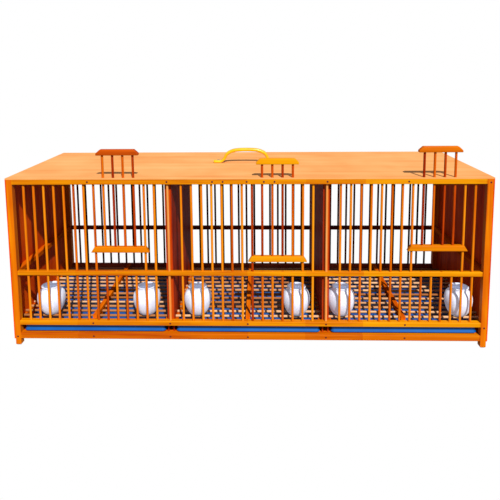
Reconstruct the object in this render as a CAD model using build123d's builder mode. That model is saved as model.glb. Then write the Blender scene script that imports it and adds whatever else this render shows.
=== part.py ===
from build123d import *
from math import cos, radians, sin
import os

# Three-bay wooden pigeon cage, in millimetres.
# X runs left to right, Y from the front to the back, Z up.
# The origin is on the floor, under the middle of the cage.

# Overall size
cage_width = 1200.0
cage_depth = 400.0
cage_height = 436.0
foot_height = 17.5
foot_round = 2.5
edge_ease = 0.8

# Timber and plywood sections
panel = 3.0
post_width = 14.0
frame_depth = 16.0
top_rail_height = 13.0
mid_rail_top = 196.5
mid_rail_height = 11.0
mid_rail_depth = 12.0
sill_top = 65.5
sill_height = 11.5
bottom_rail_height = 14.5
rear_board_top = 116.0
rear_board_thickness = 12.0

# Partitions: two plywood boards on a pair of stiles
stile_width = 11.0
stile_depth = 14.0

# Round bars, slats and their holes are drawn with eight sides
round_sides = 8
bar_diameter = 6.0
bars_per_bay = 14
seat_gap = 0.1

# Sliding doors
door_first_bar = 9
door_bar_count = 4
door_gap = 0.4
door_socket = 8.0
left_door_lift = 49.0
middle_door_lift = 25.5
right_door_lift = 54.0
crosspiece_height = 14.5
crosspiece_depth = 14.0
crosspiece_overhang = 12.8
crosspiece_slope = 9.0
grip_height = 14.5
grip_depth = 14.0
grip_overhang = 14.8
grip_slope = 10.5
grip_lip = 5.0
grip_above_roof = 7.5
door_round = 2.5

# Floor of round slats
slat_diameter = 6.4
slat_pitch = 27.2
slat_setback = 23.0
bearer_width = 8.0
bearer_height = 6.0
floor_batten_width = 11.0
floor_batten_height = 9.0

# Battens under the roof and runners under the trays
roof_batten_width = 14.0
handle_batten_width = 40.0
tray_ledge = 14.0
centre_runner_width = 14.0

# Trays
tray_gap = 0.3
tray_side_gap = 4.0
tray_front_setback = 8.0
tray_rear_gap = 5.0
tray_height = 20.0
tray_wall = 2.0
tray_corner = 8.0
tray_inner_bevel = 4.0
tray_draft = 4.0
tray_lip = 2.5
tray_lip_height = 2.0

# Feed and water cups
cup_setback = 50.0
cup_seat_gap = 0.2
cup_wall = 2.0
cup_sides = 8
left_bay_cup_insets = (64.0, 60.0)
middle_bay_cup_insets = (57.0, 63.0)
right_bay_cup_insets = (36.0, 40.0)
cup_base = 41.0
cup_low_height = 12.0
cup_low = 57.0
cup_belly_height = 32.0
cup_belly = 70.0
cup_upper_height = 50.0
cup_upper = 67.0
cup_shoulder_height = 68.0
cup_shoulder = 48.0
cup_height = 81.0
cup_collar = 45.0
cup_collar_sides = 12
cup_rim = 49.0
cup_rim_height = 3.0
cup_turn = -18.0

# Carrying handle
handle_x = -7.0
handle_y = 16.0
handle_screw_spacing = 158.0
handle_foot_length = 30.0
handle_foot_thickness = 6.0
handle_width = 18.0
handle_rise = 41.5
handle_strap = 8.0
handle_leg_inset = 12.0
handle_shoulder_inset = 32.0
handle_crown = 6.0
screw_shank = 4.0
screw_head = 9.0
screw_head_height = 2.5
screw_length = 18.0
screw_gap = 0.2

# Places worked out from the sizes above
front = -cage_depth / 2
back = cage_depth / 2
inner_front = front + frame_depth
inner_back = back - frame_depth
inner_depth = inner_back - inner_front
post_inner = cage_width / 2 - panel - post_width
panel_inner = cage_width / 2 - panel
roof_underside = cage_height - panel
top_rail_bottom = roof_underside - top_rail_height
mid_rail_bottom = mid_rail_top - mid_rail_height
sill_bottom = sill_top - sill_height
bottom_rail_top = foot_height + bottom_rail_height
front_bar_y = front + frame_depth / 2
rear_bar_y = back - frame_depth / 2

partition_width = stile_width + 2 * panel
bay_width = (2 * post_inner - 2 * partition_width) / 3
bay_step = bay_width + partition_width
bay_centres = [-bay_step, 0.0, bay_step]
partition_centres = [-bay_step / 2, bay_step / 2]
bar_pitch = bay_width / (bars_per_bay + 1)
bay_names = ["left", "middle", "right"]

door_lifts = [left_door_lift, middle_door_lift, right_door_lift]
door_bars = list(range(door_first_bar, door_first_bar + door_bar_count))
guide_bars = [door_first_bar - 1, door_first_bar + door_bar_count]
fixed_bars = [i for i in range(1, bars_per_bay + 1) if i not in door_bars]

slat_top = sill_top
slat_centre = slat_top - slat_diameter / 2
bearer_top = slat_top - slat_diameter
slat_reach = inner_depth - slat_setback - slat_diameter
slat_count = int(slat_reach / slat_pitch) + 1
handle_batten_x = [handle_x - handle_screw_spacing / 2, handle_x + handle_screw_spacing / 2]

os.makedirs("parts", exist_ok=True)


def rod(diameter, gap=0.0):
    """The section of a round bar, or of a hole around it, in the current sketch."""
    radius = diameter / 2 + gap
    RegularPolygon(radius, round_sides, major_radius=False, rotation=180 / round_sides)


def bar_x(bay_centre, index):
    """X of one bar of a bay, counted from 1 at the left."""
    return bay_centre - bay_width / 2 + index * bar_pitch


def save(piece, name):
    """Label a finished piece and write its file."""
    piece.part.label = name
    export_step(piece.part, "parts/" + name + ".step")


def cross_rail(y, z_bottom, depth, height, hole_places=(), hole_gap=0.0):
    """A rail between the posts, its long edges eased, drilled upright for bars."""
    with BuildPart() as rail:
        with BuildSketch(Plane.YZ.offset(-post_inner)):
            with Locations((y, z_bottom + height / 2)):
                Rectangle(depth, height)
        extrude(amount=2 * post_inner)
        chamfer(rail.edges().filter_by(Axis.X), edge_ease)
        if hole_places:
            with BuildSketch(Plane.XY.offset(z_bottom)):
                with Locations(*hole_places):
                    rod(bar_diameter, hole_gap)
            extrude(amount=height, mode=Mode.SUBTRACT)
    return rail


def depth_rails(x_places, width, z_bottom, height):
    """Rails of one section running front to back between the front and rear frames."""
    with BuildPart() as rails:
        with BuildSketch(Plane.XZ.offset(-inner_front)):
            with Locations(*[(x, z_bottom + height / 2) for x in x_places]):
                Rectangle(width, height)
        extrude(amount=-inner_depth)
    return rails


def upright_bars(x_places, y, z_bottom, z_top):
    """A row of round bars standing side by side."""
    with BuildPart() as bars:
        with BuildSketch(Plane.XY.offset(z_bottom)):
            with Locations(*[(x, y) for x in x_places]):
                rod(bar_diameter)
        extrude(amount=z_top - z_bottom)
    return bars


# Corner posts, which run down to the floor as feet
post_x = post_inner + post_width / 2
for side, x in (("left", -post_x), ("right", post_x)):
    for end, y in (("front", front_bar_y), ("rear", rear_bar_y)):
        with BuildPart() as post:
            with BuildSketch(Plane.XY):
                with Locations((x, y)):
                    Rectangle(post_width, frame_depth)
            extrude(amount=roof_underside)
            chamfer(post.faces().sort_by(Axis.Z)[0].edges(), foot_round)
        save(post, end + "_" + side + "_post")

# Plywood side panels outside the posts
for side, x in (("left", -panel_inner - panel), ("right", panel_inner)):
    with BuildPart() as side_panel:
        with BuildSketch(Plane.YZ.offset(x)):
            with Locations((0, (foot_height + roof_underside) / 2)):
                Rectangle(cage_depth, roof_underside - foot_height)
        extrude(amount=panel)
    save(side_panel, side + "_side_panel")

# Roof board, with a row of holes for the bars of each door and pilot holes for the handle
door_holes = [(bar_x(centre, i), front_bar_y) for centre in bay_centres for i in door_bars]
screw_places = [(x, handle_y) for x in handle_batten_x]
with BuildPart() as roof_panel:
    with BuildSketch(Plane.XY.offset(roof_underside)):
        Rectangle(cage_width, cage_depth)
    extrude(amount=panel)
    with BuildSketch(Plane.XY.offset(roof_underside)):
        with Locations(*door_holes):
            rod(bar_diameter, door_gap)
        with Locations(*screw_places):
            rod(screw_shank, screw_gap)
    extrude(amount=panel, mode=Mode.SUBTRACT)
save(roof_panel, "roof_panel")

# Front frame rails
front_top_rail = cross_rail(
    front_bar_y, top_rail_bottom, frame_depth, top_rail_height, door_holes, door_gap
)
save(front_top_rail, "front_top_rail")

bay_bars_x = [bar_x(c, i) for c in bay_centres for i in range(1, bars_per_bay + 1)]
front_mid_holes = [(x, front_bar_y) for x in bay_bars_x + partition_centres]
front_mid_rail = cross_rail(
    front_bar_y, mid_rail_bottom, mid_rail_depth, mid_rail_height, front_mid_holes, seat_gap
)
save(front_mid_rail, "front_mid_rail")

front_sill_rail = cross_rail(front_bar_y, sill_bottom, frame_depth, sill_height)
save(front_sill_rail, "front_sill_rail")
front_bottom_rail = cross_rail(front_bar_y, foot_height, frame_depth, bottom_rail_height)
save(front_bottom_rail, "front_bottom_rail")

# Rear frame: top rail, drilled middle rail and a solid board at the bottom
rear_top_rail = cross_rail(rear_bar_y, top_rail_bottom, frame_depth, top_rail_height)
save(rear_top_rail, "rear_top_rail")
rear_mid_holes = [(x, rear_bar_y) for x in bay_bars_x]
rear_mid_rail = cross_rail(
    rear_bar_y, mid_rail_bottom, mid_rail_depth, mid_rail_height, rear_mid_holes, seat_gap
)
save(rear_mid_rail, "rear_mid_rail")
rear_board_y = inner_back + rear_board_thickness / 2
rear_board_height = rear_board_top - foot_height
rear_bottom_board = cross_rail(rear_board_y, foot_height, rear_board_thickness, rear_board_height)
save(rear_bottom_board, "rear_bottom_board")

# Side frame rails between the posts, inside each side panel
side_rail_x = panel_inner - post_width / 2
ledge_rail_width = post_width + tray_ledge
for side, sign in (("left", -1), ("right", 1)):
    top_rail = depth_rails([sign * side_rail_x], post_width, top_rail_bottom, top_rail_height)
    save(top_rail, side + "_top_rail")
    mid_batten = depth_rails([sign * side_rail_x], post_width, mid_rail_bottom, mid_rail_height)
    save(mid_batten, side + "_mid_batten")
    ledge_x = sign * (panel_inner - ledge_rail_width / 2)
    bottom_rail = depth_rails([ledge_x], ledge_rail_width, foot_height, bottom_rail_height)
    save(bottom_rail, side + "_bottom_rail")

# Partitions: plywood boards either side of a front and a rear stile
board_offset = (stile_width + panel) / 2
for side, x in zip(("left", "right"), partition_centres):
    board_places = [x - board_offset, x + board_offset]
    boards = depth_rails(board_places, panel, bottom_rail_top, roof_underside - bottom_rail_top)
    save(boards, side + "_partition_boards")

for end, y in (("front", inner_front + stile_depth / 2), ("rear", inner_back - stile_depth / 2)):
    with BuildPart() as stiles:
        with BuildSketch(Plane.XY.offset(sill_bottom)):
            with Locations(*[(x, y) for x in partition_centres]):
                Rectangle(stile_width, stile_depth)
        extrude(amount=roof_underside - sill_bottom)
    save(stiles, "partition_" + end + "_stiles")

# Runners that carry the trays, under each partition and each bay
runner_width = partition_width + 2 * tray_ledge
partition_runners = depth_rails(partition_centres, runner_width, foot_height, bottom_rail_height)
save(partition_runners, "partition_runners")
bay_runners = depth_rails(bay_centres, centre_runner_width, foot_height, bottom_rail_height)
save(bay_runners, "bay_runners")

# Battens under the roof: one over each outer bay, two under the handle
outer_bays = [bay_centres[0], bay_centres[2]]
roof_battens = depth_rails(outer_bays, roof_batten_width, top_rail_bottom, top_rail_height)
save(roof_battens, "roof_battens")
with BuildPart() as handle_battens:
    with BuildSketch(Plane.XY.offset(top_rail_bottom)):
        with Locations(*[(x, 0) for x in handle_batten_x]):
            Rectangle(handle_batten_width, inner_depth)
    extrude(amount=top_rail_height)
    with BuildSketch(Plane.XY.offset(top_rail_bottom)):
        with Locations(*screw_places):
            rod(screw_shank, screw_gap)
    extrude(amount=top_rail_height, mode=Mode.SUBTRACT)
save(handle_battens, "handle_battens")

# Front bars: full height, with short ones below each doorway
for bay, centre in zip(bay_names, bay_centres):
    tall_x = [bar_x(centre, i) for i in fixed_bars]
    short_x = [bar_x(centre, i) for i in door_bars]
    with BuildPart() as front_bars:
        for places, top in ((tall_x, top_rail_bottom), (short_x, mid_rail_top)):
            with BuildSketch(Plane.XY.offset(sill_top)):
                with Locations(*[(x, front_bar_y) for x in places]):
                    rod(bar_diameter)
            extrude(amount=top - sill_top)
    save(front_bars, bay + "_front_bars")
partition_bars = upright_bars(partition_centres, front_bar_y, sill_top, top_rail_bottom)
save(partition_bars, "partition_bars")

# Rear bars, from the bottom board to the top rail
rear_bars = upright_bars(bay_bars_x, rear_bar_y, rear_board_top, top_rail_bottom)
save(rear_bars, "rear_bars")

# Floor: round slats laid across each bay on bearers, with a batten along the middle
slat_rows = [inner_front + slat_setback + i * slat_pitch for i in range(slat_count)]
bay_lefts = [-panel_inner, -bay_width / 2, bay_centres[2] - bay_width / 2]
bay_rights = [bay_centres[0] + bay_width / 2, bay_width / 2, panel_inner]
for bay, left, right in zip(bay_names, bay_lefts, bay_rights):
    with BuildPart() as slats:
        with BuildSketch(Plane.YZ.offset(left)):
            with Locations(*[(y, slat_centre) for y in slat_rows]):
                rod(slat_diameter)
        extrude(amount=right - left)
    save(slats, bay + "_floor_slats")

bearer_bottom = bearer_top - bearer_height
bearer_left_x = [x + bearer_width / 2 for x in bay_lefts]
bearer_right_x = [x - bearer_width / 2 for x in bay_rights]
bearer_places = bearer_left_x + bearer_right_x + bay_centres
slat_bearers = depth_rails(bearer_places, bearer_width, bearer_bottom, bearer_height)
save(slat_bearers, "slat_bearers")
floor_battens = depth_rails(bay_centres, floor_batten_width, slat_top, floor_batten_height)
save(floor_battens, "floor_battens")


def door_grip(middle_x, z_bottom):
    """The shaped grip on top of a door: flat top, sloping shoulders and short upright ends."""
    half = (door_bar_count - 1) * bar_pitch / 2 + grip_overhang
    with BuildPart() as grip:
        with BuildSketch(Plane.XZ.offset(-front_bar_y)) as outline:
            with BuildLine():
                Polyline(
                    (middle_x - half, z_bottom),
                    (middle_x - half, z_bottom + grip_lip),
                    (middle_x - half + grip_slope, z_bottom + grip_height),
                    (middle_x + half - grip_slope, z_bottom + grip_height),
                    (middle_x + half, z_bottom + grip_lip),
                    (middle_x + half, z_bottom),
                    close=True,
                )
            make_face()
            fillet(outline.vertices(), door_round)
        extrude(amount=grip_depth / 2, both=True)
        with BuildSketch(Plane.XY.offset(z_bottom)):
            with Locations((middle_x, front_bar_y)):
                with GridLocations(bar_pitch, 0, door_bar_count, 1):
                    rod(bar_diameter, seat_gap)
        extrude(amount=door_socket, mode=Mode.SUBTRACT)
    return grip


def door_crosspiece(middle_x, z_bottom):
    """The lower crosspiece of a door, drilled for its own bars and for the two guide bars."""
    half = (door_bar_count + 1) * bar_pitch / 2 + crosspiece_overhang
    z_top = z_bottom + crosspiece_height
    with BuildPart() as crosspiece:
        with BuildSketch(Plane.XZ.offset(-front_bar_y)) as outline:
            with BuildLine():
                Polyline(
                    (middle_x - half, z_bottom),
                    (middle_x - half + crosspiece_slope, z_top),
                    (middle_x + half - crosspiece_slope, z_top),
                    (middle_x + half, z_bottom),
                    close=True,
                )
            make_face()
            fillet(outline.vertices(), door_round)
        extrude(amount=crosspiece_depth / 2, both=True)
        with BuildSketch(Plane.XY.offset(z_top)):
            with Locations((middle_x, front_bar_y)):
                with GridLocations(bar_pitch, 0, door_bar_count, 1):
                    rod(bar_diameter, seat_gap)
        extrude(amount=-door_socket, mode=Mode.SUBTRACT)
        with BuildSketch(Plane.XY.offset(z_bottom)):
            with Locations((middle_x, front_bar_y)):
                with GridLocations((door_bar_count + 1) * bar_pitch, 0, 2, 1):
                    rod(bar_diameter, door_gap)
        extrude(amount=crosspiece_height, mode=Mode.SUBTRACT)
    return crosspiece


# Doors: four bars between a grip above the roof and a crosspiece on the guide bars
door_span = cage_height + grip_above_roof - mid_rail_top
for bay, centre, lift in zip(bay_names, bay_centres, door_lifts):
    door_x = [bar_x(centre, i) for i in door_bars]
    door_middle = (bar_x(centre, guide_bars[0]) + bar_x(centre, guide_bars[1])) / 2
    crosspiece_z = mid_rail_top + lift
    grip_z = crosspiece_z + door_span
    bars_bottom = crosspiece_z + crosspiece_height - door_socket
    bars = upright_bars(door_x, front_bar_y, bars_bottom, grip_z + door_socket)
    save(door_grip(door_middle, grip_z), bay + "_door_grip")
    save(bars, bay + "_door_bars")
    save(door_crosspiece(door_middle, crosspiece_z), bay + "_door_crosspiece")

# Trays: shallow plastic pans with drawn-in walls and a rolled lip
tray_width = bay_width - 2 * tray_side_gap - 2 * tray_lip
tray_front = front + tray_front_setback
tray_depth = inner_back - tray_rear_gap - tray_front - 2 * tray_lip
tray_middle = tray_front + tray_lip + tray_depth / 2
tray_bottom = bottom_rail_top + tray_gap
tray_rim = tray_bottom + tray_height


def tray_block(centre, inset):
    """A pan-shaped block up to the rim, whose walls lean outward."""
    width = tray_width - 2 * inset
    depth = tray_depth - 2 * inset
    height = tray_height - inset
    with BuildPart() as block:
        with BuildSketch(Plane.XZ.offset(-tray_middle)):
            with Locations((centre, tray_rim - height / 2)):
                Trapezoid(width, height, 90 - tray_draft, rotation=180)
        extrude(amount=depth / 2, both=True)
        with BuildSketch(Plane.YZ.offset(centre)):
            with Locations((tray_middle, tray_rim - height / 2)):
                Trapezoid(depth, height, 90 - tray_draft, rotation=180)
        extrude(amount=width / 2, both=True, mode=Mode.INTERSECT)
    return block


for bay, centre in zip(bay_names, bay_centres):
    tray_outside = tray_block(centre, 0)
    tray_inside = tray_block(centre, tray_wall)
    with BuildPart() as cavity:
        add(tray_inside)
        chamfer(cavity.edges().group_by(Axis.Z)[1], tray_inner_bevel)
    with BuildPart() as tray:
        add(tray_outside)
        fillet(tray.edges().group_by(Axis.Z)[1], tray_corner)
        with BuildSketch(Plane.XY.offset(tray_rim)):
            with Locations((centre, tray_middle)):
                RectangleRounded(
                    tray_width + 2 * tray_lip, tray_depth + 2 * tray_lip, tray_corner + tray_lip
                )
        extrude(amount=-tray_lip_height)
        add(cavity, mode=Mode.SUBTRACT)
    save(tray, bay + "_tray")

# Cups: eight-sided pots that swell to a belly and close to a round collar
cup_levels = [
    (0.0, cup_base),
    (cup_low_height, cup_low),
    (cup_belly_height, cup_belly),
    (cup_upper_height, cup_upper),
    (cup_shoulder_height, cup_shoulder),
]
cup_floor = slat_top + cup_seat_gap
cup_y = front + cup_setback
bay_cup_insets = [left_bay_cup_insets, middle_bay_cup_insets, right_bay_cup_insets]


def cup_form(x, turn, inset):
    """The solid form of a cup up to its mouth, where its flat-sided profiles cross."""
    levels = [(inset, cup_base)] + cup_levels[1:]
    right_edge = [(across / 2 - inset, height) for height, across in levels]
    left_edge = [(-reach, height) for reach, height in reversed(right_edge)]
    with BuildPart() as form:
        for pair in range(cup_sides // 2):
            angle = radians(turn + pair * 360 / cup_sides)
            side_view = Plane(
                origin=(x, cup_y, cup_floor),
                x_dir=(cos(angle), sin(angle), 0),
                z_dir=(sin(angle), -cos(angle), 0),
            )
            with BuildSketch(side_view):
                with BuildLine():
                    Polyline(*right_edge, *left_edge, close=True)
                make_face()
            extrude(amount=cup_belly, both=True, mode=Mode.INTERSECT if pair else Mode.ADD)
        with BuildSketch(Plane.XY.offset(cup_floor + cup_shoulder_height)):
            with Locations((x, cup_y)):
                RegularPolygon(cup_collar / 2 - inset, cup_collar_sides, major_radius=False)
        extrude(amount=cup_height - cup_shoulder_height)
    return form


def cup(x, turn):
    """One cup: belly, collar and rolled rim, hollow down to a thin floor."""
    outside = cup_form(x, turn, 0)
    inside = cup_form(x, turn, cup_wall)
    with BuildPart() as pot:
        add(outside)
        with BuildSketch(Plane.XY.offset(cup_floor + cup_height)):
            with Locations((x, cup_y)):
                RegularPolygon(cup_rim / 2, cup_collar_sides, major_radius=False)
        extrude(amount=-cup_rim_height)
        add(inside, mode=Mode.SUBTRACT)
    return pot


for bay, centre, insets in zip(bay_names, bay_centres, bay_cup_insets):
    left_x = centre - bay_width / 2 + insets[0]
    right_x = centre + bay_width / 2 - insets[1]
    save(cup(left_x, 0), bay + "_bay_left_cup")
    save(cup(right_x, cup_turn if bay == bay_names[-1] else 0), bay + "_bay_right_cup")

# Carrying handle: a bowed strap on two screwed feet
leg_x = handle_screw_spacing / 2 - handle_leg_inset
shoulder_x = handle_screw_spacing / 2 - handle_shoulder_inset
strap_top = cage_height + handle_rise - handle_strap / 2
foot_middle = cage_height + handle_foot_thickness / 2
with BuildPart() as handle:
    with BuildSketch(Plane.XZ.offset(-handle_y)):
        with BuildLine():
            left_leg = Line(
                (handle_x - leg_x, foot_middle), (handle_x - shoulder_x, strap_top - handle_crown)
            )
            crown = ThreePointArc(
                left_leg @ 1,
                (handle_x, strap_top),
                (handle_x + shoulder_x, strap_top - handle_crown),
            )
            Line(crown @ 1, (handle_x + leg_x, foot_middle))
        trace(line_width=handle_strap)
        with Locations(*[(x, foot_middle) for x in handle_batten_x]):
            Rectangle(handle_foot_length, handle_foot_thickness)
    extrude(amount=handle_width / 2, both=True)
    with BuildSketch(Plane.XY.offset(cage_height)):
        with Locations(*screw_places):
            rod(screw_shank, screw_gap)
    extrude(amount=handle_foot_thickness, mode=Mode.SUBTRACT)
save(handle, "carrying_handle")

# Round-headed screws through the handle's feet and the roof into the battens
with BuildPart() as handle_screws:
    with BuildSketch(Plane.XY.offset(cage_height + handle_foot_thickness)):
        with Locations(*screw_places):
            rod(screw_head)
    extrude(amount=screw_head_height)
    chamfer(handle_screws.faces().group_by(Axis.Z)[-1].edges(), edge_ease)
    with BuildSketch(Plane.XY.offset(cage_height + handle_foot_thickness)):
        with Locations(*screw_places):
            rod(screw_shank)
    extrude(amount=-screw_length)
save(handle_screws, "handle_screws")
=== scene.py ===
"""Looks of a three-bay wooden pigeon cage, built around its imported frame."""

import math
import random

import bpy
from mathutils import Matrix, Vector


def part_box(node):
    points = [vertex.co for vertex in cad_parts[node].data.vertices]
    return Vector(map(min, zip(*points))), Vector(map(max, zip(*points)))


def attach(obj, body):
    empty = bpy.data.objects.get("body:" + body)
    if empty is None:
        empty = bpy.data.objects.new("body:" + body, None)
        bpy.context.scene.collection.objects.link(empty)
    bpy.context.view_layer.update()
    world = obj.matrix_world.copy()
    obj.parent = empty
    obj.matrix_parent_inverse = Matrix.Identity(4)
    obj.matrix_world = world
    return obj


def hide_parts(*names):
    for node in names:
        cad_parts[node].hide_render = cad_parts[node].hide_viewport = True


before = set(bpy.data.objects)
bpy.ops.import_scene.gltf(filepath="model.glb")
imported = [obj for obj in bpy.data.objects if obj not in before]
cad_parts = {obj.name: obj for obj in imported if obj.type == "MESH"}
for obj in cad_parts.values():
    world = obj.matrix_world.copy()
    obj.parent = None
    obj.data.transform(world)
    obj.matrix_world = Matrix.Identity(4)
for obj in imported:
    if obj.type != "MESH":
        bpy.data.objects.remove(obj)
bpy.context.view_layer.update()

MM = 0.001
X_AXIS, Y_AXIS, Z_AXIS = range(3)
BAYS = ("left", "middle", "right")

# Camera, as fitted to the roof's corners and the feet in the photograph
CAMERA_PLACE = Vector((37, -1481, 706)) * MM
CAMERA_YAW = math.radians(-1.65)
CAMERA_PITCH = math.radians(7.04)
CAMERA_ROLL = math.radians(-0.46)
FOCAL_PER_WIDTH = 534 / 500
CAMERA_SHIFT_X = 3.7 / 500
CAMERA_SHIFT_Y = -117.3 / 500
SENSOR_WIDTH = 36.0
CLIP_START = 10 * MM

# Light: a hard high sun from the front and a little from the right, a soft cool fill
# from all sides, and a white background that only the camera sees
SUN_TRAVEL = Vector((-0.30, 1.0, -1.03))
SUN_STRENGTH = 5.7
SUN_ANGLE = math.radians(0.8)
SUN_COLOUR = (1.0, 0.97, 0.92)
FILL_STRENGTH = 0.34
FILL_COLOUR = (0.93, 0.96, 1.0, 1.0)
BACKDROP_STRENGTH = 1.0
BACKDROP_COLOUR = (1.0, 1.0, 1.0, 1.0)

# Bars, slats and doors
BAR_SIDES = 28
BARS_PER_BAY = 14
FIRST_DOOR_BAR = 9
DOOR_BARS = 4
BAR_RADIUS = 3.0 * MM
SLAT_RADIUS = 3.2 * MM
SLATS_PER_BAY = 13
BAR_EASE = 0.35 * MM
GUIDE_HOLE_RADIUS = 3.35 * MM

# Edges that bend more than this, in degrees, stay sharp; on moulded pieces only harder ones do
SHARP_EDGE = 35.0
MOULDED_SHARP_EDGE = 50.0

# Timber: how broad streaks and fine fibres share in its colour, where its three colours
# lie on that scale, and how far a piece's own tone and soft stains move it
BROAD_SHARE = 0.75
FIBRE_SHARE = 0.25
FIBRE_FINENESS = 9
TIMBER_STOPS = (0.28, 0.5, 0.72)
TONE_SHIFT = 0.28
STAIN_SCALE = 7.0
STAIN_RANGE = (0.3, 0.7)

# Plastic and metal: where their two colours lie, and how fine their surface is
SOFT_STOPS = (0.35, 0.65)
MOULD_FINENESS = 1800.0
TARNISH_FINENESS = 900.0
WALL_SCATTER = 3 * MM
# How much of a plastic's light through thin walls is painted light: an emission in its own colour
PAINTED_LIGHT_SHARE = 0.4

random.seed(7)


def srgb(red, green, blue):
    """A colour given in screen steps of 0 to 255, as the shader wants it."""
    def linear(step):
        share = step / 255
        return share / 12.92 if share <= 0.04045 else ((share + 0.055) / 1.055) ** 2.4
    return (linear(red), linear(green), linear(blue), 1.0)


class Tree:
    """Short names for making one material's nodes."""

    def __init__(self, name):
        self.material = bpy.data.materials.new(name)
        self.material.use_nodes = True
        self.tree = self.material.node_tree
        self.shader = self.tree.nodes["Principled BSDF"]
        self.place = self.add("ShaderNodeTexCoord").outputs["Object"]

    def add(self, kind, **values):
        """A node of a kind, with its settings and the plain values of its inputs."""
        node = self.tree.nodes.new(kind)
        for key, value in values.items():
            if key in node.inputs:
                node.inputs[key].default_value = value
            else:
                setattr(node, key, value)
        return node

    def link(self, source, target):
        self.tree.links.new(source, target)

    def set(self, **values):
        """Plain values of the shader's own sockets; an underscore stands for a space."""
        for key, value in values.items():
            self.shader.inputs[key.replace("_", " ")].default_value = value

    def stretched(self, place, scale):
        """Places scaled along each axis, for streaks that follow one axis."""
        node = self.add("ShaderNodeMapping", Scale=scale)
        self.link(place, node.inputs["Vector"])
        return node.outputs["Vector"]

    def noise(self, place, scale=1.0, detail=3.0, roughness=0.55, distortion=0.0):
        """Soft noise from 0 to 1."""
        node = self.add("ShaderNodeTexNoise", Scale=scale, Detail=detail, Roughness=roughness,
                        Distortion=distortion)
        self.link(place, node.inputs["Vector"])
        return node.outputs["Fac"]

    def math(self, operation, first, second=0.0):
        """One step of arithmetic on sockets or plain values."""
        node = self.add("ShaderNodeMath", operation=operation)
        for socket, value in zip(node.inputs, (first, second)):
            if isinstance(value, float):
                socket.default_value = value
            else:
                self.link(value, socket)
        return node.outputs["Value"]

    def ramp(self, factor, stops):
        """Colours along a factor, given as (position, colour) pairs."""
        node = self.add("ShaderNodeValToRGB")
        elements = node.color_ramp.elements
        while len(elements) < len(stops):
            elements.new(0.5)
        for element, (position, colour) in zip(elements, stops):
            element.position = position
            element.color = colour
        self.link(factor, node.inputs["Fac"])
        return node.outputs["Color"]

    def spread(self, factor, low, high, from_low=0.0, from_high=1.0):
        """A factor stretched to run from low to high."""
        node = self.add("ShaderNodeMapRange")
        for name, value in (("From Min", from_low), ("From Max", from_high),
                            ("To Min", low), ("To Max", high)):
            node.inputs[name].default_value = value
        self.link(factor, node.inputs["Value"])
        return node.outputs["Result"]

    def roughness(self, factor, middle, less, more):
        """Roughness that runs from a bit less than a middle value to a bit more."""
        self.link(self.spread(factor, middle - less, middle + more), self.shader.inputs["Roughness"])

    def bump(self, height, distance):
        """Fine relief of the surface."""
        node = self.add("ShaderNodeBump", Distance=distance)
        self.link(height, node.inputs["Height"])
        self.link(node.outputs["Normal"], self.shader.inputs["Normal"])


def wood(name, dark, mid, light, along, across=80.0, length=3.0, board=0.0, board_length=0.2,
         toned=False, gloss=0.45, coat=0.02, sheen=0.05, fibre_depth=0.08 * MM, patches=0.0):
    """Lacquered timber or plywood whose grain runs along one axis.

    across and length tell how many streaks there are to a metre across and along the grain.
    board tells how much the short lengths of one rail differ in colour, and patches how
    much soft stains do. A toned piece also differs by the tone on its points. gloss is the
    roughness, and coat and sheen tell how much the lacquer and the wood under it shine.
    """
    tree = Tree(name)
    place = tree.place
    if toned:
        tone = tree.add("ShaderNodeAttribute", attribute_name="tone").outputs["Fac"]
        moved = tree.add("ShaderNodeVectorMath", operation="ADD")
        tree.link(place, moved.inputs[0])
        tree.link(tone, moved.inputs[1])
        place = moved.outputs["Vector"]
    broad_scale = [across] * 3
    broad_scale[along] = length
    fine_scale = [FIBRE_FINENESS * scale for scale in broad_scale]
    broad = tree.noise(tree.stretched(place, broad_scale), detail=4.0, distortion=0.8)
    fibres = tree.noise(tree.stretched(place, fine_scale), detail=4.0, roughness=0.6)
    factor = tree.math("ADD", tree.math("MULTIPLY", broad, BROAD_SHARE),
                       tree.math("MULTIPLY", fibres, FIBRE_SHARE))
    if board:
        axes = tree.add("ShaderNodeSeparateXYZ")
        tree.link(tree.place, axes.inputs["Vector"])
        piece = tree.math("FLOOR", tree.math("DIVIDE", axes.outputs[along], board_length))
        chance = tree.add("ShaderNodeTexWhiteNoise", noise_dimensions="1D")
        tree.link(piece, chance.inputs["W"])
        shift = tree.spread(chance.outputs["Value"], -board, board)
        factor = tree.math("ADD", factor, shift)
    if patches:
        stain = tree.noise(tree.place, scale=STAIN_SCALE, detail=2.0)
        factor = tree.math("ADD", factor, tree.spread(stain, -patches, patches, *STAIN_RANGE))
    if toned:
        factor = tree.math("ADD", factor, tree.spread(tone, -TONE_SHIFT, TONE_SHIFT))
    stops = tuple(zip(TIMBER_STOPS, (dark, mid, light)))
    tree.link(tree.ramp(factor, stops), tree.shader.inputs["Base Color"])
    tree.roughness(fibres, gloss, less=0.06, more=0.14)
    tree.set(Coat_Weight=coat, Coat_Roughness=0.14, Specular_IOR_Level=sheen)
    tree.bump(fibres, fibre_depth)
    return tree.material


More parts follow.
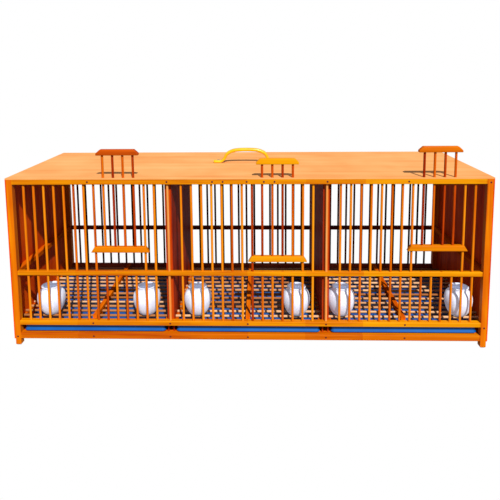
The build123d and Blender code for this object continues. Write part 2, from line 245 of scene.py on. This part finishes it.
def plastic(name, colour, shade, gloss=0.28, coat=0.3, grain=0.02 * MM, mottle=60.0, sheen=0.4,
            scatter_and_painted_light=0.0):
    """Moulded plastic or paint: two near shades in a soft mottle and a faint surface texture.

    mottle tells how fine the mottle is, and scatter_and_painted_light how much light passes on through
    thin walls: it sets real scattering under the surface, and a share of it is painted light, an
    emission in the plastic's own colour.
    """
    tree = Tree(name)
    soft = tree.noise(tree.place, scale=mottle)
    stops = tuple(zip(SOFT_STOPS, (shade, colour)))
    tree.link(tree.ramp(soft, stops), tree.shader.inputs["Base Color"])
    fine = tree.noise(tree.place, scale=MOULD_FINENESS, detail=2.0)
    tree.roughness(soft, gloss, less=0.05, more=0.08)
    # Light through thin walls: real subsurface scattering plus painted light, an emission in the
    # plastic's own colour
    tree.set(Coat_Weight=coat, Coat_Roughness=0.2, Specular_IOR_Level=sheen, Subsurface_Weight=scatter_and_painted_light,
             Subsurface_Scale=WALL_SCATTER, Subsurface_Radius=(1.0, 1.0, 1.0), Emission_Color=colour,
             Emission_Strength=scatter_and_painted_light * PAINTED_LIGHT_SHARE)
    tree.bump(fine, grain)
    return tree.material


def metal(name, colour, shade, gloss, grain=0.02 * MM):
    """Plain metal with a fine uneven tarnish."""
    tree = Tree(name)
    soft = tree.noise(tree.place, scale=TARNISH_FINENESS)
    stops = tuple(zip(SOFT_STOPS, (shade, colour)))
    tree.link(tree.ramp(soft, stops), tree.shader.inputs["Base Color"])
    tree.roughness(soft, gloss, less=0.08, more=0.12)
    tree.set(Metallic=1.0)
    tree.bump(soft, grain)
    return tree.material


# Grain that several timbers share
RAIL_GRAIN = {"along": X_AXIS, "board": 0.09, "board_length": 145 * MM}
THIN_GRAIN = {"across": 140.0, "toned": True, "fibre_depth": 0.04 * MM}
PLY_GRAIN = {"along": Z_AXIS, "across": 40.0, "patches": 0.1, "coat": 0.0, "sheen": 0.02}

rail_wood = wood("rail_wood", srgb(170, 76, 0), srgb(198, 119, 0), srgb(210, 143, 3), **RAIL_GRAIN)
low_rail_wood = wood("low_rail_wood", srgb(158, 60, 0), srgb(188, 92, 0), srgb(202, 118, 0),
                     **RAIL_GRAIN)
post_wood = wood("post_wood", srgb(170, 66, 0), srgb(198, 98, 0), srgb(210, 122, 0), Z_AXIS,
                 patches=0.08)
bar_wood = wood("bar_wood", srgb(150, 44, 0), srgb(200, 96, 2), srgb(218, 136, 16), Z_AXIS,
                **THIN_GRAIN)
door_bar_wood = wood("door_bar_wood", srgb(134, 32, 0), srgb(180, 66, 2), srgb(208, 112, 8), Z_AXIS,
                     **THIN_GRAIN)
# Partition bars: a paler copy of the bar wood, its pale cream a painted highlight
painted_highlight_bar_wood = wood("painted_highlight_bar_wood", srgb(196, 100, 24), srgb(212, 132, 58), srgb(222, 176, 122),
                     Z_AXIS, coat=0.3, **THIN_GRAIN)
# Rear bars and rear rails are painted near black and dark maroon: painted shade for parts that stand
# backlit in the roof's shadow
painted_shade_back_bar_wood = wood("painted_shade_back_bar_wood", srgb(40, 10, 4), srgb(70, 20, 8), srgb(108, 36, 12), Z_AXIS,
                 **THIN_GRAIN)
painted_shade_back_rail_wood = wood("painted_shade_back_rail_wood", srgb(60, 8, 4), srgb(92, 16, 8), srgb(124, 30, 12), X_AXIS)
rear_board_wood = wood("rear_board_wood", srgb(96, 30, 14), srgb(140, 54, 24), srgb(176, 84, 40),
                       X_AXIS, across=60.0, length=2.0, patches=0.1)
roof_wood = wood("roof_wood", srgb(208, 134, 72), srgb(216, 150, 88), srgb(222, 162, 102), X_AXIS,
                 across=36.0, length=2.2, patches=0.12, gloss=0.5)
panel_wood = wood("panel_wood", srgb(170, 44, 0), srgb(204, 66, 2), srgb(224, 88, 6), **PLY_GRAIN)
partition_wood = wood("partition_wood", srgb(122, 26, 6), srgb(152, 42, 10), srgb(180, 62, 16),
                      **PLY_GRAIN)
stile_wood = wood("stile_wood", srgb(150, 44, 2), srgb(188, 70, 2), srgb(208, 98, 4), Z_AXIS)
batten_wood = wood("batten_wood", srgb(144, 48, 2), srgb(192, 84, 4), srgb(214, 118, 10), Y_AXIS,
                   coat=0.0, sheen=0.0)
slat_wood = wood("slat_wood", srgb(140, 86, 48), srgb(172, 122, 82), srgb(198, 156, 118), X_AXIS,
                 **THIN_GRAIN)
grip_wood = {
    "left": wood("left_door_wood", srgb(150, 52, 0), srgb(172, 68, 2), srgb(190, 88, 4), X_AXIS),
    "middle": wood("middle_door_wood", srgb(200, 112, 0), srgb(210, 136, 0), srgb(218, 158, 6),
                   X_AXIS),
    "right": wood("right_door_wood", srgb(168, 74, 0), srgb(188, 92, 0), srgb(202, 114, 2), X_AXIS),
}
crosspiece_wood = {
    "left": wood("left_crosspiece_wood", srgb(176, 82, 0), srgb(196, 106, 0), srgb(208, 130, 2),
                 X_AXIS),
    "middle": wood("middle_crosspiece_wood", srgb(186, 98, 0), srgb(200, 124, 2),
                   srgb(210, 148, 8), X_AXIS),
    "right": wood("right_crosspiece_wood", srgb(172, 80, 0), srgb(190, 104, 0),
                  srgb(202, 128, 2), X_AXIS),
}
tray_plastic = plastic("tray_plastic", srgb(0, 82, 158), srgb(0, 72, 146), gloss=0.32, coat=0.3,
                       sheen=0.3, mottle=12.0)
# Cups: real scattering through their walls, plus painted light, a faint emission that brightens their
# shaded sides and insides
cup_plastic = plastic("cup_plastic", srgb(206, 212, 228), srgb(198, 204, 222), gloss=0.4, coat=0.05,
                      sheen=0.2, scatter_and_painted_light=0.5)
handle_plastic = plastic("handle_plastic", srgb(222, 176, 0), srgb(214, 158, 0), gloss=0.3, coat=0.15)
screw_steel = metal("screw_steel", srgb(214, 208, 190), srgb(170, 160, 138), gloss=0.32)
nail_iron = plastic("nail_iron", srgb(104, 26, 6), srgb(64, 14, 4), gloss=0.5, coat=0.0, mottle=900.0)


def finish_cad(name, material):
    """Gives a CAD node that stays in view its material."""
    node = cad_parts[name]
    if not node.material_slots:
        node.data.materials.append(material)
    for place in node.material_slots:
        place.material = material


class Shape:
    """Gathers the points and faces of one piece, skinned from rings of points."""

    def __init__(self):
        self.points = []
        self.faces = []
        self.tones = []

    def skin(self, rings, tone=0.0):
        """Joins rings of equal length into a surface, closed by flat caps at both ends."""
        start = len(self.points)
        count = len(rings[0])
        for ring in rings:
            self.points.extend(Vector(point) for point in ring)
            self.tones.extend([tone] * count)
        last = start + (len(rings) - 1) * count
        for low in range(start, last, count):
            high = low + count
            for i in range(count):
                j = (i + 1) % count
                self.faces.append((low + i, low + j, high + j, high + i))
        self.faces.append(tuple(range(start + count - 1, start - 1, -1)))
        self.faces.append(tuple(range(last, last + count)))

    def mesh_object(self, name, material, sharp=SHARP_EDGE):
        """The finished mesh as a Blender object with smooth faces and sharp edges."""
        mesh = bpy.data.meshes.new(name)
        mesh.from_pydata(self.points, [], self.faces)
        mesh.attributes.new("tone", "FLOAT", "POINT").data.foreach_set("value", self.tones)
        mesh.materials.append(material)
        mesh.validate()
        smooth(mesh, sharp)
        piece = bpy.data.objects.new(name, mesh)
        bpy.context.scene.collection.objects.link(piece)
        return piece


def smooth(mesh, sharp=SHARP_EDGE):
    """Smooth faces, with edges that bend by more than the given degrees left sharp."""
    mesh.shade_smooth()
    mesh.set_sharp_from_angle(angle=math.radians(sharp))


def apply_modifiers(piece):
    """Turns a piece's modifiers into its mesh."""
    seen = piece.evaluated_get(bpy.context.evaluated_depsgraph_get())
    mesh = bpy.data.meshes.new_from_object(seen)
    piece.modifiers.clear()
    piece.data = mesh
    smooth(mesh)


def seat(piece, body, slot, *nodes):
    """Lets a new piece ride on a body in place of CAD nodes; slot is not used."""
    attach(piece, body)
    if nodes:
        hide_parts(*nodes)


def circle(centre, radius, sides, axis=Z_AXIS):
    """Points round a circle about one axis, counted the same way on each ring."""
    ring = []
    for step in range(sides):
        angle = math.tau * step / sides
        point = [0.0, 0.0, 0.0]
        point[(axis + 1) % 3] = radius * math.cos(angle)
        point[(axis + 2) % 3] = radius * math.sin(angle)
        ring.append(Vector(centre) + Vector(point))
    return ring


def round_rod(shape, start, length, radius, axis, tone):
    """A round rod with eased ends, from its start along one axis."""
    along = Vector([1.0 if i == axis else 0.0 for i in range(3)])
    profile = ((0.0, radius - BAR_EASE), (BAR_EASE, radius), (length - BAR_EASE, radius),
               (length, radius - BAR_EASE))
    rings = [circle(start + along * offset, wide, BAR_SIDES, axis) for offset, wide in profile]
    shape.skin(rings, tone)


def spaced(low, high, count):
    """Evenly spaced places, the first at low and the last at high."""
    return [low + (high - low) * i / (count - 1) for i in range(count)]


# Front bars, with the bars that look redder in each bay listed
sill_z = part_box("front_sill_rail")[1].z
mid_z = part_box("front_mid_rail")[1].z
top_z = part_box("front_top_rail")[0].z
RED_BARS = {"left": (6, 8), "middle": (6, 8), "right": (3, 6)}
RED_DOOR_BARS = {"left": (1, 3), "middle": (0, 2), "right": (0, 2)}
REDDISH = 0.32
YELLOWISH = 0.66
TONE_SPREAD = 0.12
PARTITION_BAR_TONE = 0.5


def bar_tone(reddish):
    """The tone of one bar, a little different each time."""
    return (REDDISH if reddish else YELLOWISH) + random.uniform(-TONE_SPREAD, TONE_SPREAD)


for bay in BAYS:
    low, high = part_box(bay + "_front_bars")
    y = (low.y + high.y) / 2
    bars = Shape()
    places = spaced(low.x + BAR_RADIUS, high.x - BAR_RADIUS, BARS_PER_BAY)
    for index, x in enumerate(places, start=1):
        short = FIRST_DOOR_BAR <= index < FIRST_DOOR_BAR + DOOR_BARS
        top = mid_z if short else top_z
        tone = bar_tone(index in RED_BARS[bay] or (short and index % 2))
        round_rod(bars, Vector((x, y, sill_z)), top - sill_z, BAR_RADIUS, Z_AXIS, tone)
    seat(bars.mesh_object(bay + "_front_rods", bar_wood), "cage", "lacquered_wood", bay + "_front_bars")

low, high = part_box("partition_bars")
bars = Shape()
for x in (low.x + BAR_RADIUS, high.x - BAR_RADIUS):
    round_rod(bars, Vector((x, (low.y + high.y) / 2, low.z)), high.z - low.z, BAR_RADIUS, Z_AXIS,
              PARTITION_BAR_TONE)
# The partition rods take the pale wood, a painted highlight
seat(bars.mesh_object("partition_rods", painted_highlight_bar_wood), "cage", "lacquered_wood", "partition_bars")

# Rear bars stand behind the front ones, bay by bay, on a low board
REAR_BOARD_TOP = 71 * MM
low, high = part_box("rear_bars")
bars = Shape()
for bay in BAYS:
    front_low, front_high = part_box(bay + "_front_bars")
    for x in spaced(front_low.x + BAR_RADIUS, front_high.x - BAR_RADIUS, BARS_PER_BAY):
        start = Vector((x, (low.y + high.y) / 2, REAR_BOARD_TOP))
        round_rod(bars, start, high.z - REAR_BOARD_TOP, BAR_RADIUS, Z_AXIS, random.random())
# The rear rods take the wood painted dark as painted shade
seat(bars.mesh_object("rear_rods", painted_shade_back_bar_wood), "cage", "lacquered_wood", "rear_bars")

# Floor slats
for bay in BAYS:
    low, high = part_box(bay + "_floor_slats")
    slats = Shape()
    for y in spaced(low.y + SLAT_RADIUS, high.y - SLAT_RADIUS, SLATS_PER_BAY):
        start = Vector((low.x, y, (low.z + high.z) / 2))
        round_rod(slats, start, high.x - low.x, SLAT_RADIUS, X_AXIS, random.random())
    seat(slats.mesh_object(bay + "_round_slats", slat_wood), "cage", "floor_wood", bay + "_floor_slats")


# Doors: grips and crosspieces are sawn to a profile and rounded over
CROSSPIECE_SLOPE = 9 * MM
GRIP_SLOPE = 10.5 * MM
GRIP_LIP = 5 * MM
ROUND_OVER = 1.4 * MM
ROUND_OVER_STEPS = 3
ROUND_OVER_FROM = math.radians(20)


def profile_block(name, outline, low_y, high_y, material):
    """A block with the given X and Z outline between two Y places, its edges rounded."""
    block = Shape()
    block.skin([[(x, y, z) for x, z in outline] for y in (low_y, high_y)])
    piece = block.mesh_object(name, material)
    ease = piece.modifiers.new("ease", "BEVEL")
    ease.width = ROUND_OVER
    ease.segments = ROUND_OVER_STEPS
    ease.limit_method = "ANGLE"
    ease.angle_limit = ROUND_OVER_FROM
    return piece


def cut_round_holes(piece, places, radius, low_z, high_z):
    """Cuts upright round holes through a piece."""
    cutter_shape = Shape()
    for x, y in places:
        ends = [circle((x, y, z), radius, BAR_SIDES) for z in (low_z, high_z)]
        cutter_shape.skin(ends)
    cutter = cutter_shape.mesh_object("hole_cutter", piece.data.materials[0])
    cut = piece.modifiers.new("holes", "BOOLEAN")
    cut.operation = "DIFFERENCE"
    cut.solver = "EXACT"
    cut.object = cutter
    apply_modifiers(piece)
    bpy.data.objects.remove(cutter)


for bay in BAYS:
    body = bay + "_door"
    low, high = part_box(bay + "_door_bars")
    y = (low.y + high.y) / 2
    bars = Shape()
    door_places = spaced(low.x + BAR_RADIUS, high.x - BAR_RADIUS, DOOR_BARS)
    for index, x in enumerate(door_places):
        round_rod(bars, Vector((x, y, low.z)), high.z - low.z, BAR_RADIUS, Z_AXIS,
                  bar_tone(index in RED_DOOR_BARS[bay]))
    seat(bars.mesh_object(bay + "_door_rods", door_bar_wood), body, "door_wood", bay + "_door_bars")

    low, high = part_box(bay + "_door_grip")
    outline = ((low.x, low.z), (high.x, low.z), (high.x, low.z + GRIP_LIP),
               (high.x - GRIP_SLOPE, high.z), (low.x + GRIP_SLOPE, high.z), (low.x, low.z + GRIP_LIP))
    grip = profile_block(bay + "_grip", outline, high.y, low.y, grip_wood[bay])
    apply_modifiers(grip)
    seat(grip, body, "door_wood", bay + "_door_grip")

    low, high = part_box(bay + "_door_crosspiece")
    outline = ((low.x, low.z), (high.x, low.z), (high.x - CROSSPIECE_SLOPE, high.z),
               (low.x + CROSSPIECE_SLOPE, high.z))
    crosspiece = profile_block(bay + "_crosspiece", outline, high.y, low.y,
                               crosspiece_wood[bay])
    pitch = door_places[1] - door_places[0]
    guides = [(door_places[0] - pitch, y), (door_places[-1] + pitch, y)]
    cut_round_holes(crosspiece, guides, GUIDE_HOLE_RADIUS, low.z - MM, high.z + MM)
    seat(crosspiece, body, "door_wood", bay + "_door_crosspiece")


# Trays: a rounded pan with a stiffening bead low on its wall and a rolled lip
TRAY_WALL = 2 * MM
TRAY_LIP = 2.5 * MM
TRAY_LIP_HEIGHT = 2 * MM
TRAY_CORNER = 8 * MM
TRAY_DRAFT = math.tan(math.radians(4))
CORNER_STEPS = 8
# In millimetres: how far in from the foot of the wall, and how high
TRAY_FOOT_AND_BEAD = ((3.0, 0.0), (0.8, 0.4), (0.0, 1.8), (-2.6, 3.0), (-3.0, 4.0), (-2.7, 5.0),
                      (-1.0, 8.5), (-0.4, 10.0))
# In millimetres: how far in from the outermost edge, and how far below the top
TRAY_ROLL = ((0.4, 2.0), (0.0, 1.4), (0.2, 0.5), (0.8, 0.0), (3.1, 0.0), (4.0, 0.3), (4.5, 1.2))
# In millimetres: how far in from the foot of the wall inside, and how high above the pan's floor
TRAY_INSIDE = ((0.0, 2.0), (1.2, 0.4), (4.0, 0.0))


def rounded_rectangle(centre, half_x, half_y, corner):
    """Points round a flat rectangle with round corners, in the plane of its centre."""
    ring = []
    for turn, (sign_x, sign_y) in enumerate(((1, 1), (-1, 1), (-1, -1), (1, -1))):
        for step in range(CORNER_STEPS + 1):
            angle = math.pi / 2 * (turn + step / CORNER_STEPS)
            x = sign_x * (half_x - corner) + corner * math.cos(angle)
            y = sign_y * (half_y - corner) + corner * math.sin(angle)
            ring.append(Vector(centre) + Vector((x, y, 0)))
    return ring


for bay in BAYS:
    low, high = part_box(bay + "_tray")
    middle = (low + high) / 2
    half = (high - low) / 2
    height = high.z - low.z
    tray = Shape()
    floor_in = TRAY_LIP + height * TRAY_DRAFT
    # Each level is how far in from the outermost edge it lies, and how high
    levels = [(floor_in + inward * MM, level * MM) for inward, level in TRAY_FOOT_AND_BEAD]
    levels.append((TRAY_LIP + TRAY_LIP_HEIGHT * TRAY_DRAFT, height - TRAY_LIP_HEIGHT))
    levels += [(inward * MM, height - drop * MM) for inward, drop in TRAY_ROLL]
    levels += [(floor_in + TRAY_WALL + inward * MM, TRAY_WALL + level * MM)
               for inward, level in TRAY_INSIDE]
    rings = []
    for inward, level in levels:
        corner = TRAY_CORNER + TRAY_LIP - min(inward, TRAY_CORNER)
        rings.append(rounded_rectangle((middle.x, middle.y, low.z + level), half.x - inward,
                                       half.y - inward, corner))
    tray.skin(rings)
    seat(tray.mesh_object(bay + "_pan", tray_plastic), bay + "_tray", "tray_plastic", bay + "_tray")

# Cups: eight soft facets from the foot to the shoulder, then a round collar and rim
CUP_SIDES = 8
CUP_STEPS = 8
CUP_WALL = 2.0
CUP_CORNER_LIMIT = 1.045
CUP_ROUNDNESS = 0.45
CUP_INNER_ROUNDNESS = 0.3
CUP_TURN = {"right_bay_right_cup": math.radians(-18)}
# Height and distance across the facets, foot to shoulder, in millimetres; then the same for
# the round collar and rim, over the rim and down inside
CUP_FACETED = ((0.0, 34.0), (1.2, 38.0), (5.0, 45.0), (12.0, 54.0), (22.0, 62.5), (32.0, 67.6),
               (41.0, 69.6), (50.0, 68.4), (57.0, 64.6), (62.0, 57.0), (64.5, 50.0))
CUP_ROUND = ((66.0, 46.5), (67.5, 45.6), (72.6, 45.6), (73.0, 47.6), (73.5, 48.4), (74.6, 48.4),
             (75.1, 47.6), (75.3, 46.4), (75.1, 44.0), (74.4, 42.0), (66.0, 42.0))


def cup_ring(centre, across, height, turn, roundness):
    """One level of a cup, between a soft octagon and a circle."""
    ring = []
    sector = math.tau / CUP_SIDES
    for step in range(CUP_SIDES * CUP_STEPS):
        angle = sector * step / CUP_STEPS
        from_flat = (angle + sector / 2) % sector - sector / 2
        octagon = min(1 / math.cos(from_flat), CUP_CORNER_LIMIT)
        reach = across / 2 * MM * (octagon + (1 - octagon) * roundness)
        facing = angle + turn
        ring.append(Vector(centre) + Vector((reach * math.cos(facing), reach * math.sin(facing),
                                             height * MM)))
    return ring


for bay in BAYS:
    for side in ("left", "right"):
        name = "%s_bay_%s_cup" % (bay, side)
        low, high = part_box(name)
        base = Vector(((low.x + high.x) / 2, (low.y + high.y) / 2, low.z))
        turn = CUP_TURN.get(name, 0.0)
        rings = [cup_ring(base, across, height, turn, CUP_ROUNDNESS)
                 for height, across in CUP_FACETED]
        rings += [cup_ring(base, across, height, turn, 1.0) for height, across in CUP_ROUND]
        inner = [(height, across - 2 * CUP_WALL) for height, across in reversed(CUP_FACETED[2:-1])]
        inner.append((CUP_WALL, CUP_FACETED[0][1] - 2 * CUP_WALL))
        rings += [cup_ring(base, across, height, turn, CUP_INNER_ROUNDNESS)
                  for height, across in inner]
        cup = Shape()
        cup.skin(rings)
        seat(cup.mesh_object(name + "_pot", cup_plastic, MOULDED_SHARP_EDGE), name, "cup_plastic", name)

# Carrying handle: a bowed strap that flows down into two screwed feet
HANDLE_STRAP = 9 * MM
HANDLE_FOOT = 7 * MM
HANDLE_STEPS = 16
HANDLE_FOOT_LENGTH = 30 * MM
HANDLE_TAPER = 9 * MM
HANDLE_END_WIDTH = 0.55
HANDLE_ROUNDNESS = 0.42
# In millimetres: how far past the foot's inner end, and how far above the foot's middle
HANDLE_RISE = ((-28, 0), (-16, 0), (-6, 0.6), (2, 8), (8, 19))
# In millimetres: how far past the foot's inner end, and how far below the crown
HANDLE_SHOULDER = ((17, 7), (34, 1.6))
low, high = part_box("carrying_handle")
handle_middle = (low + high) / 2
half_length = (high.x - low.x) / 2


def smooth_path(points, steps):
    """A smooth line through the points, as (x, z) pairs, by Catmull and Rom's formula."""
    line = []
    spaced_points = [points[0]] + list(points) + [points[-1]]
    for i in range(1, len(spaced_points) - 2):
        before, start, end, after = (Vector(p) for p in spaced_points[i - 1:i + 3])
        for step in range(steps):
            t = step / steps
            line.append(0.5 * (2 * start + (end - before) * t
                               + (2 * before - 5 * start + 4 * end - after) * t * t
                               + (3 * start - before - 3 * end + after) * t ** 3))
    line.append(Vector(points[-1]))
    return line


crown = high.z - HANDLE_STRAP / 2
foot_mid = low.z + HANDLE_FOOT / 2
foot_end = HANDLE_FOOT_LENGTH - half_length
half_path = [(foot_end + past * MM, foot_mid + above * MM) for past, above in HANDLE_RISE]
half_path += [(foot_end + past * MM, crown - below * MM) for past, below in HANDLE_SHOULDER]
half_path.append((0.0, crown))
whole_path = half_path + [(-x, z) for x, z in reversed(half_path[:-1])]
line = smooth_path(whole_path, HANDLE_STEPS)
strap = Shape()
rings = []
for i, point in enumerate(line):
    ahead = line[min(i + 1, len(line) - 1)] - line[max(i - 1, 0)]
    ahead.normalize()
    across = Vector((-ahead.y, ahead.x))
    rise = (point.y - foot_mid) / (crown - foot_mid)
    thick = HANDLE_FOOT + (HANDLE_STRAP - HANDLE_FOOT) * rise
    from_end = min(half_length - abs(point.x), HANDLE_TAPER) / HANDLE_TAPER
    fullness = math.sqrt(max(0.0, 1 - (1 - from_end) ** 2))
    wide = (high.y - low.y) * (HANDLE_END_WIDTH + (1 - HANDLE_END_WIDTH) * fullness)
    ring = []
    for corner in rounded_rectangle((0, 0, 0), wide / 2, thick / 2, HANDLE_ROUNDNESS * thick):
        offset = across * corner.y
        ring.append(Vector((handle_middle.x + point.x + offset.x, handle_middle.y + corner.x,
                            point.y + offset.y)))
    rings.append(ring)
strap.skin(rings)
handle = strap.mesh_object("handle_strap", handle_plastic, MOULDED_SHARP_EDGE)
seat(handle, "cage", "handle_plastic", "carrying_handle")

# Screws of the handle: a domed head with a crossed slot
SCREW_HEAD = 4.5 * MM
SCREW_DOME = 2.5 * MM
SLOT_WIDTH = 0.9 * MM
SLOT_DEPTH = 1.1 * MM
SLOT_REACH = 2.6 * MM
SLOT_TURN = 0.5
SCREW_SHANK = 2 * MM
SCREW_TIP = 0.3 * MM
SCREW_SIDES = 20
DOME_STEPS = 7
low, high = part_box("handle_screws")
screw_y = (low.y + high.y) / 2
screws = Shape()
slots = Shape()
for x in (low.x + SCREW_HEAD, high.x - SCREW_HEAD):
    shank = high.z - SCREW_DOME
    rings = [circle((x, screw_y, z), SCREW_SHANK, SCREW_SIDES) for z in (low.z, shank)]
    for step in range(DOME_STEPS):
        angle = math.pi / 2 * step / DOME_STEPS
        rings.append(circle((x, screw_y, shank + SCREW_DOME * math.sin(angle)),
                            SCREW_HEAD * math.cos(angle), SCREW_SIDES))
    rings.append(circle((x, screw_y, high.z), SCREW_TIP, SCREW_SIDES))
    screws.skin(rings)
    for turn in (0.0, math.pi / 2):
        spin = Matrix.Rotation(turn + SLOT_TURN, 2)
        corners = []
        for along, side in ((-1, -1), (1, -1), (1, 1), (-1, 1)):
            flat = spin @ Vector((along * SLOT_REACH, side * SLOT_WIDTH / 2))
            corners.append((x + flat.x, screw_y + flat.y))
        slots.skin([[(a, b, z) for a, b in corners] for z in (high.z - SLOT_DEPTH, high.z + MM)])
screw_piece = screws.mesh_object("screw_heads", screw_steel)
cutter = slots.mesh_object("slot_cutter", screw_steel)
cut = screw_piece.modifiers.new("slots", "BOOLEAN")
cut.operation = "DIFFERENCE"
cut.solver = "EXACT"
cut.use_self = True
cut.object = cutter
apply_modifiers(screw_piece)
bpy.data.objects.remove(cutter)
seat(screw_piece, "cage", "screw_steel", "handle_screws")

# Rear bottom board, low enough to see over it through the bars
low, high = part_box("rear_bottom_board")
outline = ((low.x, low.z), (high.x, low.z), (high.x, REAR_BOARD_TOP), (low.x, REAR_BOARD_TOP))
rear_board = profile_block("rear_low_board", outline, high.y, low.y, rear_board_wood)
apply_modifiers(rear_board)
seat(rear_board, "cage", "rear_board", "rear_bottom_board")

# Nail heads on the front rails and posts
NAIL_RADIUS = 2.5 * MM
NAIL_RISE = 0.3 * MM
NAIL_SINK = 1.0 * MM
NAIL_CROWN = 0.6
NAIL_SIDES = 16
TOP_RAIL_NAILS = [-85 * MM, -59 * MM, 42 * MM, 68 * MM]
POST_NAILS = (("left", -591 * MM, 23 * MM), ("right", 591 * MM, 52 * MM), ("right", 591 * MM, 424 * MM))


def nail_head(centre):
    """Rings of a nail head that faces the front."""
    profile = ((NAIL_SINK, NAIL_RADIUS), (0.0, NAIL_RADIUS), (-NAIL_RISE, NAIL_RADIUS * NAIL_CROWN))
    return [circle(centre + Vector((0, depth, 0)), radius, NAIL_SIDES, Y_AXIS)
            for depth, radius in profile]


nails = Shape()
low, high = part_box("partition_bars")
partition_x = [low.x + BAR_RADIUS, high.x - BAR_RADIUS]
bay_x = [sum(corner.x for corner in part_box(bay + "_tray")) / 2 for bay in BAYS]
nail_rows = {
    "front_top_rail": bay_x + partition_x + TOP_RAIL_NAILS,
    "front_sill_rail": bay_x + partition_x,
    "front_bottom_rail": bay_x + partition_x,
}
for rail, places in nail_rows.items():
    low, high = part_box(rail)
    for x in places:
        nails.skin(nail_head(Vector((x, low.y, (low.z + high.z) / 2))))
for side, x, z in POST_NAILS:
    nails.skin(nail_head(Vector((x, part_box("front_%s_post" % side)[0].y, z))))
seat(nails.mesh_object("nail_heads", nail_iron), "cage", "screw_steel")

# Materials of the CAD nodes that stay in view
for name in ("front_top_rail", "front_mid_rail", "front_sill_rail"):
    finish_cad(name, rail_wood)
finish_cad("front_bottom_rail", low_rail_wood)
# The rear rails take the rail wood painted dark as painted shade
for name in ("rear_top_rail", "rear_mid_rail"):
    finish_cad(name, painted_shade_back_rail_wood)
finish_cad("roof_panel", roof_wood)
for side in ("left", "right"):
    finish_cad("front_%s_post" % side, post_wood)
    finish_cad("rear_%s_post" % side, post_wood)
    finish_cad(side + "_side_panel", panel_wood)
    finish_cad(side + "_partition_boards", partition_wood)
    for part in ("_top_rail", "_mid_batten", "_bottom_rail"):
        finish_cad(side + part, batten_wood)
for name in ("partition_front_stiles", "partition_rear_stiles"):
    finish_cad(name, stile_wood)
for name in ("partition_runners", "bay_runners", "roof_battens", "handle_battens", "slat_bearers",
             "floor_battens"):
    finish_cad(name, batten_wood)

# Light and camera
sun = bpy.data.objects.new("sun", bpy.data.lights.new("sun", "SUN"))
sun.data.energy = SUN_STRENGTH
sun.data.angle = SUN_ANGLE
sun.data.color = SUN_COLOUR
sun.rotation_euler = SUN_TRAVEL.to_track_quat("-Z", "Y").to_euler()
bpy.context.scene.collection.objects.link(sun)

world = bpy.data.worlds.new("pale_room")
world.use_nodes = True
bpy.context.scene.world = world
room = world.node_tree
seen = room.nodes["Background"]
seen.inputs["Color"].default_value = BACKDROP_COLOUR
seen.inputs["Strength"].default_value = BACKDROP_STRENGTH
fill = room.nodes.new("ShaderNodeBackground")
fill.inputs["Color"].default_value = FILL_COLOUR
fill.inputs["Strength"].default_value = FILL_STRENGTH
rays = room.nodes.new("ShaderNodeLightPath")
chosen = room.nodes.new("ShaderNodeMixShader")
room.links.new(rays.outputs["Is Camera Ray"], chosen.inputs["Fac"])
room.links.new(fill.outputs["Background"], chosen.inputs[1])
room.links.new(seen.outputs["Background"], chosen.inputs[2])
room.links.new(chosen.outputs["Shader"], room.nodes["World Output"].inputs["Surface"])

camera = bpy.data.objects.new("camera", bpy.data.cameras.new("camera"))
camera.data.sensor_fit = "HORIZONTAL"
camera.data.sensor_width = SENSOR_WIDTH
camera.data.lens = SENSOR_WIDTH * FOCAL_PER_WIDTH
camera.data.shift_x = CAMERA_SHIFT_X
camera.data.shift_y = CAMERA_SHIFT_Y
camera.data.clip_start = CLIP_START
forward = Vector((math.sin(CAMERA_YAW) * math.cos(CAMERA_PITCH),
                  math.cos(CAMERA_YAW) * math.cos(CAMERA_PITCH), -math.sin(CAMERA_PITCH)))
level = Vector((math.cos(CAMERA_YAW), -math.sin(CAMERA_YAW), 0))
lift = level.cross(forward)
right = math.cos(CAMERA_ROLL) * level + math.sin(CAMERA_ROLL) * lift
up = math.cos(CAMERA_ROLL) * lift - math.sin(CAMERA_ROLL) * level
turned = Matrix((right, up, -forward)).transposed().to_4x4()
camera.matrix_world = Matrix.Translation(CAMERA_PLACE) @ turned
bpy.context.scene.collection.objects.link(camera)
bpy.context.scene.camera = camera
bpy.context.scene.view_settings.view_transform = "Standard"
